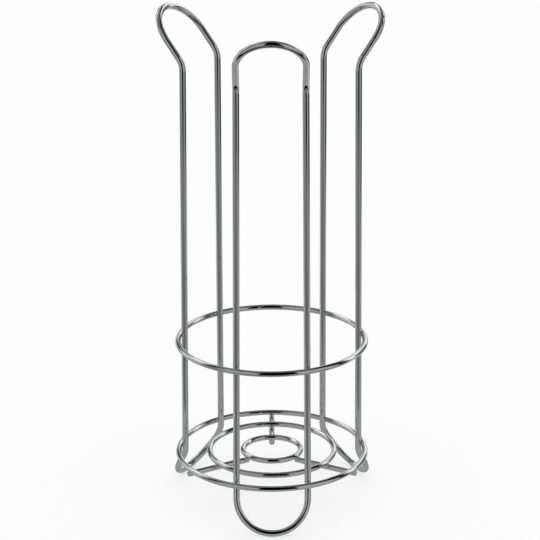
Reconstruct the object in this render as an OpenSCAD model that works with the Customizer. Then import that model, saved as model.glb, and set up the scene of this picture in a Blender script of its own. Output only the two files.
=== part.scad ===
// Toilet roll storage stand of welded round wire, in millimetres, +Z up.
// Three tall closed loops stand 120 degrees apart round a column of rolls. Each loop
// flares outward at its top, and bends outward at its bottom into a foot arc. Its legs
// lean in a little towards the top, and close in a little on each other.
// An upper ring and a base of three level rings on three radial spokes join them.
// The origin is on the stand's axis, on the floor that the three foot arcs rest on.

/* [Wire] */
// Diameter of the wire of the three loops
loop_wire_d = 5; // [4:0.1:6]
// Diameter of the wire of the four rings
ring_wire_d = 4.3; // [3.5:0.1:5.5]
// Diameter of the wire of the three spokes
spoke_wire_d = 4.5; // [3.5:0.1:5.5]
// Depth to which a weld sets one wire into the other
weld_set = 0.3; // [0.2:0.05:0.5]

/* [Rings] */
// Outer diameter of the base's outer ring, which the upper ring follows
outer_ring_d = 152; // [140:1:180]
// Outer diameter of the base's middle ring
middle_ring_d = 103; // [85:1:115]
// Outer diameter of the base's inner ring
inner_ring_d = 50; // [35:1:60]
// Height of the upper ring over the base rings, between wire centres
upper_ring_rise = 93.5; // [40:0.5:200]

/* [Spokes] */
// Length by which a spoke runs past the centre line of the inner and of the outer ring
spoke_overhang = 1.5; // [0.5:0.1:4]
// Bevel round the cut ends of a spoke
spoke_end_bevel = 0.5; // [0.2:0.1:1]

/* [Loops] */
// Distance between the two legs of a loop at the base rings, between wire centres
leg_spacing = 54.4; // [36:0.1:64]
// Angle by which each leg of a loop closes in on the other towards the top
leg_taper = 0.4; // [0:0.05:1]
// Angle by which a loop leans in over the rolls towards the top
leg_lean = 0.43; // [0:0.01:1]
// Height of the top bend over the base rings
top_bend_rise = 305; // [220:1:400]
// Bend radius of the top bend, to the wire's centre line
top_bend_r = 15; // [8:1:25]
// Angle by which the top arch flares outward from the vertical
top_flare = 39; // [15:1:50]
// Straight wire between the top bend and the arch
top_straight = 16.5; // [2:0.5:30]
// Drop from the base rings to the foot bend
foot_bend_drop = 1.5; // [1.5:0.1:8]
// Bend radius of the foot bend, to the wire's centre line
foot_bend_r = 17; // [8:1:25]
// Angle by which the foot arc leans outward from the vertical
foot_splay = 31; // [15:0.5:45]
// Straight wire between the foot bend and the foot arc
foot_straight = 0.5; // [0.5:0.5:15]
// Extra thickness of the wire in a bend
bend_swell = 0.02; // [0.02:0.01:0.1]

/* [Hidden] */
$fn = 64;

// Directions of the loops and of the spokes, seen from above
front_angle = -90;
rear_right_angle = front_angle + 120;
rear_left_angle = front_angle + 240;
back_angle = front_angle + 180;
front_left_angle = back_angle + 120;
front_right_angle = back_angle + 240;

// Distance between the centre lines of a leg and of the ring welded to its outside
leg_to_ring = (ring_wire_d + loop_wire_d) / 2 - weld_set;

// Centre lines of the base rings, as radii round the stand's axis
outer_r = (outer_ring_d - ring_wire_d) / 2;
middle_r = (middle_ring_d - ring_wire_d) / 2;
inner_r = (inner_ring_d - ring_wire_d) / 2;

// The legs stand inside the outer ring, at the height of the base rings
leg_r = outer_r - leg_to_ring;
half_spacing = leg_spacing / 2;
leg_depth = sqrt(pow(leg_r, 2) - pow(half_spacing, 2));

// A leg's distance out from the axis and to the side, at a height over the base rings
function leg_out(rise) = leg_depth - rise * tan(leg_lean);
function leg_side(rise) = half_spacing - rise * tan(leg_taper);

// The upper ring goes round the legs where they have leaned in to
upper_r = norm([leg_out(upper_ring_rise), leg_side(upper_ring_rise)]) + leg_to_ring;

// Heights over the floor
foot_side = leg_side(-foot_bend_drop);
foot_drop = foot_bend_r * sin(foot_splay) + (foot_straight + foot_side) * cos(foot_splay);
foot_bend_z = loop_wire_d / 2 + foot_drop;
base_z = foot_bend_z + foot_bend_drop;
upper_ring_z = base_z + upper_ring_rise;
top_bend_z = base_z + top_bend_rise;
spoke_z = base_z - (ring_wire_d + spoke_wire_d) / 2 + weld_set;

// Length by which straight wire runs into a bend, short enough to stay under its swell
bend_lap = 0.2;

steel = [0.78, 0.79, 0.79];

// Wire that starts upward at the origin and turns towards +X by an angle.
// It is a hair thicker than straight wire, as bent wire is, so the straights run into it.
module wire_bend(bend_r, turn) {
    translate([bend_r, 0, 0])
        mirror([1, 0, 0])
            rotate([90, 0, 0])
                rotate_extrude(angle = turn)
                    translate([bend_r, 0])
                        circle(d = loop_wire_d + bend_swell);
}

// Half circle of wire over the XY plane that joins the two sides of a loop's end
module wire_arch(arch_r) {
    rotate([90, 0, 90])
        rotate_extrude(angle = 180)
            translate([arch_r, 0])
                circle(d = loop_wire_d);
}

// End of a loop from its two bends to its arch, drawn upward from the legs' ends
module loop_end(side_r, bend_r, turn, straight) {
    for (side = [-1, 1])
        translate([0, side * side_r, 0])
            wire_bend(bend_r, turn);
    translate([bend_r * (1 - cos(turn)), 0, bend_r * sin(turn)])
        rotate([0, turn, 0]) {
            for (side = [-1, 1])
                translate([0, side * side_r, -bend_lap])
                    cylinder(d = loop_wire_d, h = bend_lap + straight);
            translate([0, 0, straight])
                wire_arch(side_r);
        }
}

// The two straight legs of a loop that stands in the direction of +X
module legs() {
    tilt = atan(tan(leg_taper) * cos(leg_lean));
    length = (top_bend_z - foot_bend_z) / (cos(tilt) * cos(leg_lean));
    for (side = [-1, 1])
        translate([leg_out(-foot_bend_drop), side * foot_side, foot_bend_z])
            rotate([side * tilt, -leg_lean, 0])
                translate([0, 0, -bend_lap])
                    cylinder(d = loop_wire_d, h = length + 2 * bend_lap);
}

// A closed loop of wire: two legs, the flared arch at the top and the foot arc
module loop(direction) {
    color(steel)
        rotate([0, 0, direction]) {
            legs();
            translate([leg_out(top_bend_rise), 0, top_bend_z])
                loop_end(leg_side(top_bend_rise), top_bend_r, top_flare, top_straight);
            translate([leg_out(-foot_bend_drop), 0, foot_bend_z])
                mirror([0, 0, 1])
                    loop_end(foot_side, foot_bend_r, foot_splay, foot_straight);
        }
}

// The six legs as the welds see them
module all_legs() {
    for (direction = [front_angle, rear_right_angle, rear_left_angle])
        rotate([0, 0, direction])
            legs();
}

// A level ring of wire round the stand's axis
module ring(centre_r, height) {
    translate([0, 0, height])
        rotate_extrude()
            translate([centre_r, 0])
                circle(d = ring_wire_d);
}

// A ring outside the legs, seated on them by its six welds
module welded_ring(centre_r, height) {
    color(steel)
        difference() {
            ring(centre_r, height);
            all_legs();
        }
}

// Half outline of a spoke: a rod with bevelled ends
module spoke_outline(length) {
    polygon([
        [0, 0],
        [spoke_wire_d / 2 - spoke_end_bevel, 0],
        [spoke_wire_d / 2, spoke_end_bevel],
        [spoke_wire_d / 2, length - spoke_end_bevel],
        [spoke_wire_d / 2 - spoke_end_bevel, length],
        [0, length]
    ]);
}

// A radial spoke under the base rings, with the three seats of its welds
module spoke(direction) {
    length = outer_r - inner_r + 2 * spoke_overhang;
    color(steel)
        difference() {
            rotate([0, 0, direction])
                translate([inner_r - spoke_overhang, 0, spoke_z])
                    rotate([0, 90, 0])
                        rotate_extrude()
                            spoke_outline(length);
            for (centre_r = [inner_r, middle_r, outer_r])
                ring(centre_r, base_z);
        }
}

module front_loop() { loop(front_angle); }
module rear_right_loop() { loop(rear_right_angle); }
module rear_left_loop() { loop(rear_left_angle); }
module upper_ring() { welded_ring(upper_r, upper_ring_z); }
module base_outer_ring() { welded_ring(outer_r, base_z); }
module base_middle_ring() { color(steel) ring(middle_r, base_z); }
module base_inner_ring() { color(steel) ring(inner_r, base_z); }
module back_spoke() { spoke(back_angle); }
module front_left_spoke() { spoke(front_left_angle); }
module front_right_spoke() { spoke(front_right_angle); }

front_loop();
rear_right_loop();
rear_left_loop();
upper_ring();
base_outer_ring();
base_middle_ring();
base_inner_ring();
back_spoke();
front_left_spoke();
front_right_spoke();
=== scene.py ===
import math

import bpy
from mathutils import Euler, Matrix, Vector


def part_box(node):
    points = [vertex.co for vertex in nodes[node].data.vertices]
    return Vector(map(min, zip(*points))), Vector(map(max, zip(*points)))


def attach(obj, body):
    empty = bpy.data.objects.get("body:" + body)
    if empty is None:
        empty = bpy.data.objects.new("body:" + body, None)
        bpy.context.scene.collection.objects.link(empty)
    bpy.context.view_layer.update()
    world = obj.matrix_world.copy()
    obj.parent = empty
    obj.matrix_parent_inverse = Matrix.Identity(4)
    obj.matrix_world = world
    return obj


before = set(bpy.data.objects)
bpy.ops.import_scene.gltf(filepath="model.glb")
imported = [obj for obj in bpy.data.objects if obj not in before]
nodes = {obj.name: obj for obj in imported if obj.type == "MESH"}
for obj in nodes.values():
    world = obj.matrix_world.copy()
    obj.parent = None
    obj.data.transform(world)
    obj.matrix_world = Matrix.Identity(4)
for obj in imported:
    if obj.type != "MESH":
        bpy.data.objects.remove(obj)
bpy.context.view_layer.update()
scene = bpy.context.scene

MM = 0.001
UP = Vector((0, 0, 1))

# The wires' radii, the depth of their welds and the places of the legs, as in the CAD
LOOP_R, RING_R, SPOKE_R = 2.5 * MM, 2.15 * MM, 2.25 * MM
WELD_SET = 0.3 * MM
LEG_HALF_SPACING = 27.2 * MM
LEG_TAPER = math.radians(0.4)
LOOP_ANGLES = (-90, 30, 150)
SPOKE_ANGLES = (90, 210, 330)

SLOTS = {
    "loop_wire": ("front_loop", "rear_right_loop", "rear_left_loop"),
    "ring_wire": ("upper_ring", "base_outer_ring", "base_middle_ring", "base_inner_ring"),
    "spoke_wire": ("back_spoke", "front_left_spoke", "front_right_spoke"),
}

# Chrome, with a fine haze in its gloss and a faint ripple in its surface
CHROME_COLOUR = (0.78, 0.79, 0.79, 1.0)
CHROME_ROUGHNESS = 0.045
HAZE = {"Scale": 900.0, "Detail": 3.0}
HAZE_LOW, HAZE_HIGH = 0.7, 1.3
RIPPLE = {"Scale": 160.0, "Detail": 2.0}
RIPPLE_STRENGTH, RIPPLE_DEPTH = 0.25, 0.06 * MM

# Weld bead: points around it, levels up its side, radius at the wires and in the middle,
# and how its side curves between them
BEAD_POINTS, BEAD_LEVELS = 40, 8
BEAD_REACH, BEAD_WAIST = 1.85 * MM, 1.5 * MM
BEAD_CURVE = 0.8
# Both ends of a bead are sunk into the wires, and a little smaller there
BEAD_SUNK, BEAD_INSET = 0.3 * MM, 0.1 * MM

# The paper floor, the grey that it has for light and shadow, and its own glow for the camera
FLOOR_HALF = 12.0
FLOOR_GREY = 0.35
FLOOR_GLOW = 0.64

# The table top that the chrome mirrors, in metres, and its level
TABLE_SIDE, TABLE_FRONT, TABLE_BACK = 0.17, -0.15, 0.17
TABLE_LEVEL = 144

# Camera: millimetres of sensor and lens, metres, and degrees down, to the right and rolled
SENSOR_WIDTH, LENS = 36.0, 128.235
CLIP_START, CLIP_END = 0.05, 60.0
CAMERA_PLACE = (-0.00266, -1.40122, 0.66724)
PITCH, YAW, ROLL = 18.920, 0.068, -0.206


def add_node(tree, kind, inputs=None, **settings):
    """A node with its settings, and its inputs set to values or linked to sockets."""
    made = tree.nodes.new(kind)
    for key, value in settings.items():
        setattr(made, key, value)
    for key, value in (inputs or {}).items():
        if isinstance(value, bpy.types.NodeSocket):
            tree.links.new(value, made.inputs[key])
        else:
            made.inputs[key].default_value = value
    return made


def math_node(tree, operation, *values):
    inputs = dict(enumerate(values))
    return add_node(tree, "ShaderNodeMath", inputs, operation=operation).outputs[0]


def mix_colour(tree, share, behind, front):
    """One colour in front of another by a share, on the Mix node's sockets for colours."""
    inputs = {0: share, 6: behind, 7: front}
    return add_node(tree, "ShaderNodeMix", inputs, data_type="RGBA").outputs[2]


def empty_tree(owner):
    """The node tree of a material or a world, without its default nodes."""
    owner.use_nodes = True
    owner.node_tree.nodes.clear()
    return owner.node_tree


def chrome(name):
    made = bpy.data.materials.new(name)
    tree = empty_tree(made)
    out = add_node(tree, "ShaderNodeOutputMaterial")
    coords = add_node(tree, "ShaderNodeTexCoord").outputs["Object"]
    haze = add_node(tree, "ShaderNodeTexNoise", {"Vector": coords, **HAZE})
    gloss = add_node(tree, "ShaderNodeMapRange", {
        "Value": haze.outputs["Fac"],
        "To Min": CHROME_ROUGHNESS * HAZE_LOW, "To Max": CHROME_ROUGHNESS * HAZE_HIGH})
    ripple = add_node(tree, "ShaderNodeTexNoise", {"Vector": coords, **RIPPLE})
    relief = add_node(tree, "ShaderNodeBump", {
        "Height": ripple.outputs["Fac"], "Strength": RIPPLE_STRENGTH, "Distance": RIPPLE_DEPTH})
    shader = add_node(tree, "ShaderNodeBsdfPrincipled", {
        "Base Color": CHROME_COLOUR, "Metallic": 1.0,
        "Roughness": gloss.outputs["Result"], "Normal": relief.outputs["Normal"]})
    tree.links.new(shader.outputs["BSDF"], out.inputs["Surface"])
    return made


FINISH = {slot: chrome(slot) for slot in SLOTS}
for slot, wires in SLOTS.items():
    for name in wires:
        nodes[name].material_slots[0].material = FINISH[slot]


def sag(radius, distance):
    """How far a round wire's surface falls away at a distance from its top line."""
    return radius - math.sqrt(radius * radius - distance * distance)


def bead_ring(level, lower_r, upper_r, place):
    """One level of a bead's points, from the end in the lower wire to the end in the upper one."""
    ring = []
    for step in range(BEAD_POINTS):
        angle = 2 * math.pi * step / BEAD_POINTS
        low = WELD_SET / 2 - sag(lower_r, BEAD_REACH * math.sin(angle))
        high = sag(upper_r, BEAD_REACH * math.cos(angle)) - WELD_SET / 2
        if level == 0:
            distance, height = BEAD_REACH - BEAD_INSET, low - BEAD_SUNK
        elif level == BEAD_LEVELS + 2:
            distance, height = BEAD_REACH - BEAD_INSET, high + BEAD_SUNK
        else:
            part = (level - 1) / BEAD_LEVELS
            bow = 4 * part * (1 - part)
            distance = BEAD_REACH - (BEAD_REACH - BEAD_WAIST) * bow ** BEAD_CURVE
            height = low + (high - low) * part
        ring.append(place @ Vector((
            distance * math.cos(angle), distance * math.sin(angle), height)))
    return ring


def weld_bead(lower_r, upper_r, verts, faces, place):
    """A closed saddle bead in the crease of two crossed wires.
    The lower wire runs along the bead's X and the upper one along its Y, with Z between them."""
    base = len(verts)
    rings = [bead_ring(level, lower_r, upper_r, place) for level in range(BEAD_LEVELS + 3)]
    for ring in rings:
        verts.extend(ring)
    last = base + BEAD_POINTS * (len(rings) - 1)
    for low in range(base, last, BEAD_POINTS):
        high = low + BEAD_POINTS
        for step in range(BEAD_POINTS):
            after = (step + 1) % BEAD_POINTS
            faces.append((low + step, low + after, high + after, high + step))
    for ring, first, turned in ((rings[0], base, True), (rings[-1], last, False)):
        centre = len(verts)
        verts.append(sum(ring, Vector()) / BEAD_POINTS)
        for step in range(BEAD_POINTS):
            pair = (first + step, first + (step + 1) % BEAD_POINTS)
            faces.append((*(pair[::-1] if turned else pair), centre))


def frame_at(origin, x_axis, y_axis, z_axis):
    """A matrix that carries a bead's own axes to a place on the stand."""
    made = Matrix((x_axis, y_axis, z_axis)).transposed().to_4x4()
    made.translation = origin
    return made


def weld_piece(name, slot, places, lower_r, upper_r):
    verts, faces = [], []
    for place in places:
        weld_bead(lower_r, upper_r, verts, faces, place)
    mesh = bpy.data.meshes.new(name)
    mesh.from_pydata(verts, [], faces)
    mesh.polygons.foreach_set("use_smooth", [True] * len(mesh.polygons))
    mesh.update()
    made = bpy.data.objects.new(name, mesh)
    scene.collection.objects.link(made)
    mesh.materials.append(FINISH[slot])
    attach(made, "root")


def middle_of(node):
    low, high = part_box(node)
    return (low + high) / 2


def ring_centre_r(node):
    low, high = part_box(node)
    return (high.x - low.x) / 2 - RING_R


def leg_places(ring):
    """Where the six legs touch the inside of a ring, with X up the leg and Z outward."""
    places = []
    height = middle_of(ring).z
    leg_r = ring_centre_r(ring) - RING_R - LOOP_R + WELD_SET
    rise = height - middle_of("base_outer_ring").z
    half_spacing = LEG_HALF_SPACING - rise * math.tan(LEG_TAPER)
    for angle in LOOP_ANGLES:
        for side in (-1, 1):
            turn = math.radians(angle) + side * math.asin(half_spacing / leg_r)
            out = Vector((math.cos(turn), math.sin(turn), 0))
            along = Vector((math.sin(turn), -math.cos(turn), 0))
            origin = out * (leg_r + LOOP_R - WELD_SET / 2) + UP * height
            places.append(frame_at(origin, UP, along, out))
    return places


def spoke_places(centre_r, height):
    """Where a ring lies on the three spokes, with X out along the spoke and Z up."""
    places = []
    for angle in SPOKE_ANGLES:
        turn = math.radians(angle)
        out = Vector((math.cos(turn), math.sin(turn), 0))
        along = Vector((-math.sin(turn), math.cos(turn), 0))
        places.append(frame_at(out * centre_r + UP * height, out, along, UP))
    return places


for name in ("upper_ring", "base_outer_ring"):
    weld_piece(name + "_leg_welds", "ring_wire", leg_places(name), LOOP_R, RING_R)
seat_z = middle_of("base_outer_ring").z - RING_R + WELD_SET / 2
for name in ("base_outer_ring", "base_middle_ring", "base_inner_ring"):
    places = spoke_places(ring_centre_r(name), seat_z)
    weld_piece(name + "_spoke_welds", "spoke_wire", places, SPOKE_R, RING_R)


# The studio that the chrome mirrors. Its levels are screen values of 0 to 255.
NEUTRAL, COOL, OLIVE, VIOLET = (1, 1, 1), (0.975, 1.0, 1.0), (1.0, 1.1, 0.9), (1.0, 0.99, 1.04)
# Half a turn and a little more, for a panel that goes on past the rear
REAR = 190
# Azimuth from the camera's side towards the right, elevation, softness of the edge, in degrees,
# and the level that the chrome mirrors. A later panel stands in front of an earlier one.
PANELS = (
    # the floor, a paler strip behind on the left, and darker floor in front of the table
    (-REAR, REAR, -95, -22, 1.3, 145, COOL),
    (-REAR, -112, -17, 18, 2, 192, VIOLET),
    (-149, -82, -25, -16, 2.5, 190, COOL),
    (-66, 52, -95, -39, 3, 112, NEUTRAL),
    (-46, 23, -60, -16, 4, 94, COOL),
    # the dark foot of the rear wall
    (108, 176, -15.5, 4, 1.5, 0, VIOLET),
    (-148, -129, -23, -12, 2, 84, VIOLET),
    # light panels in front, to both sides of the camera
    (21, 80, -14, 42, 4, 158, COOL),
    (-65, -16, -10, 48, 4, 150, COOL),
    # light panels behind, the right one with a duller middle, and a lamp over the left one
    (103, 177, -7, 55, 3, 226, VIOLET),
    (114, 147, -9, 23, 3, 104, VIOLET),
    (-151, -80, -13, 52, 1, 186, VIOLET),
    (-170, -135, 36, 42, 1.2, 280, VIOLET),
    (-160, -149, 5, 56, 4, 3, VIOLET),
    # dark gaps between the panels, and over the right one
    (84, 98, -17, 83, 1, 5, COOL),
    (78, 126, 23, 70, 4, 35, COOL),
    (-110, -76, 39, 55, 1, 0, COOL),
    (76, 175, 44.5, 59, 2, 0, COOL),
    # the dark room beyond the camera
    (-15, 30, -15, 70, 1.5, 0, COOL),
    (-27, 42, 44, 84, 3, 0, COOL),
    # low strips at the sides
    (86, 128, -21, -17.5, 3, 190, COOL),
    (-89, -74, -39, 28, 4, 104, COOL),
    (-114, -86, -16, -6, 4, 130, COOL),
    (75, 117, -16, -11.5, 1, 40, COOL),
    # lamps and flags in front of the rear panels
    (-155, -132, 6, 20, 3, 0, VIOLET),
    (103, 119, 15, 37, 3, 260, VIOLET),
    (-91, -73, 25, 51, 3, 0, COOL),
    (-160, -131, 38, 50, 2, 270, VIOLET),
    (164, 178, 33, 52, 3, 5, VIOLET),
    (111, 150, -42, -27, 2, 205, VIOLET),
)
# Behind the panels the wall blends into the ceiling between two elevations
WALL_LEVEL, CEILING_LEVEL = 124, 99
WALL_TOP, CEILING_EDGE = 38.0, 67.0
# The dark room below the table's front edge: how steeply down the view past the edge goes
# (0 is level towards the camera, 90 straight down), azimuth, their softness, and the level
BELOW_STEEP, BELOW_STEEP_EDGE = (54, 100), 2
BELOW_AZIMUTH, BELOW_AZIMUTH_EDGE = (-76, 76), 5
BELOW_LEVEL = 8


def seen(level, tint):
    """The tinted light that shows in the chrome at a screen value, through the sRGB curve."""
    share = level / 255
    linear = share / 12.92 if share <= 0.04045 else ((share + 0.055) / 1.055) ** 2.4
    return (*(linear / CHROME_COLOUR[0] * part for part in tint), 1.0)


def studio_world():
    world = bpy.data.worlds.new("studio")
    scene.world = world
    tree = empty_tree(world)
    out = add_node(tree, "ShaderNodeOutputWorld")
    rays = add_node(tree, "ShaderNodeLightPath")
    direction = add_node(tree, "ShaderNodeTexCoord").outputs["Generated"]
    parts = add_node(tree, "ShaderNodeSeparateXYZ", {"Vector": direction}).outputs
    towards = math_node(tree, "MULTIPLY", parts["Y"], -1.0)
    below = math_node(tree, "MULTIPLY", parts["Z"], -1.0)
    azimuth = math_node(tree, "DEGREES", math_node(tree, "ARCTAN2", parts["X"], towards))
    elevation = math_node(tree, "DEGREES", math_node(tree, "ARCSINE", parts["Z"]))
    steepness = math_node(tree, "DEGREES", math_node(tree, "ARCTAN2", below, towards))

    def ramp(value, middle, edge, start, end):
        return add_node(tree, "ShaderNodeMapRange", {
            "Value": value, "From Min": middle - edge, "From Max": middle + edge,
            "To Min": start, "To Max": end}, interpolation_type="SMOOTHSTEP").outputs["Result"]

    def band(value, low, high, edge):
        return math_node(
            tree, "MULTIPLY", ramp(value, low, edge, 0.0, 1.0), ramp(value, high, edge, 1.0, 0.0))

    ceiling = add_node(tree, "ShaderNodeMapRange", {
        "Value": elevation, "From Min": WALL_TOP, "From Max": CEILING_EDGE}).outputs["Result"]
    colour = mix_colour(tree, ceiling, seen(WALL_LEVEL, COOL), seen(CEILING_LEVEL, OLIVE))
    for west, east, low, high, edge, level, tint in PANELS:
        share = math_node(
            tree, "MULTIPLY", band(azimuth, west, east, edge), band(elevation, low, high, edge))
        colour = mix_colour(tree, share, colour, seen(level, tint))
    share = math_node(
        tree, "MULTIPLY", band(steepness, *BELOW_STEEP, BELOW_STEEP_EDGE),
        band(azimuth, *BELOW_AZIMUTH, BELOW_AZIMUTH_EDGE))
    colour = mix_colour(tree, share, colour, seen(BELOW_LEVEL, COOL))
    mirrored = add_node(tree, "ShaderNodeBackground", {"Color": colour})
    plain = add_node(tree, "ShaderNodeBackground", {"Color": (1.0, 1.0, 1.0, 1.0)})
    shade = add_node(tree, "ShaderNodeMixShader", {
        0: rays.outputs["Is Glossy Ray"], 1: plain.outputs[0], 2: mirrored.outputs[0]})
    tree.links.new(shade.outputs[0], out.inputs["Surface"])


def sheet(name, side, front, back, material):
    """A flat rectangle at the height of the floor."""
    mesh = bpy.data.meshes.new(name)
    corners = [(-side, front, 0), (side, front, 0), (side, back, 0), (-side, back, 0)]
    mesh.from_pydata(corners, [], [(0, 1, 2, 3)])
    mesh.materials.append(material)
    made = bpy.data.objects.new(name, mesh)
    scene.collection.objects.link(made)
    return made


def floor():
    """Paper that glows for the camera, so that it shows white and keeps a faint shadow."""
    material = bpy.data.materials.new("floor_paper")
    tree = empty_tree(material)
    out = add_node(tree, "ShaderNodeOutputMaterial")
    rays = add_node(tree, "ShaderNodeLightPath")
    grey = (FLOOR_GREY, FLOOR_GREY, FLOOR_GREY, 1.0)
    paper = add_node(tree, "ShaderNodeBsdfDiffuse", {"Color": grey})
    lift = math_node(tree, "MULTIPLY", rays.outputs["Is Camera Ray"], FLOOR_GLOW)
    glow = add_node(tree, "ShaderNodeEmission", {"Strength": lift})
    both = add_node(tree, "ShaderNodeAddShader", {0: paper.outputs[0], 1: glow.outputs[0]})
    tree.links.new(both.outputs[0], out.inputs["Surface"])
    made = sheet("floor", FLOOR_HALF, -FLOOR_HALF, FLOOR_HALF, material)
    made.visible_glossy = False


def table():
    """The pale table under the stand, which only the chrome shows, with its front edge."""
    material = bpy.data.materials.new("table_mirrored")
    tree = empty_tree(material)
    out = add_node(tree, "ShaderNodeOutputMaterial")
    glow = add_node(tree, "ShaderNodeEmission", {"Color": seen(TABLE_LEVEL, COOL)})
    tree.links.new(glow.outputs[0], out.inputs["Surface"])
    made = sheet("table", TABLE_SIDE, TABLE_FRONT, TABLE_BACK, material)
    made.visible_camera = False
    made.visible_diffuse = False
    made.visible_transmission = False
    made.visible_shadow = False


def camera():
    data = bpy.data.cameras.new("camera")
    made = bpy.data.objects.new("camera", data)
    scene.collection.objects.link(made)
    data.sensor_width = SENSOR_WIDTH
    data.lens = LENS
    data.clip_start, data.clip_end = CLIP_START, CLIP_END
    made.location = CAMERA_PLACE
    turn = Euler((math.radians(90 - PITCH), 0, math.radians(-YAW)), "XYZ").to_quaternion()
    roll = Euler((0, 0, math.radians(ROLL)), "XYZ").to_quaternion()
    made.rotation_mode = "QUATERNION"
    made.rotation_quaternion = turn @ roll
    scene.camera = made


studio_world()
floor()
table()
camera()
scene.view_settings.view_transform = "Standard"
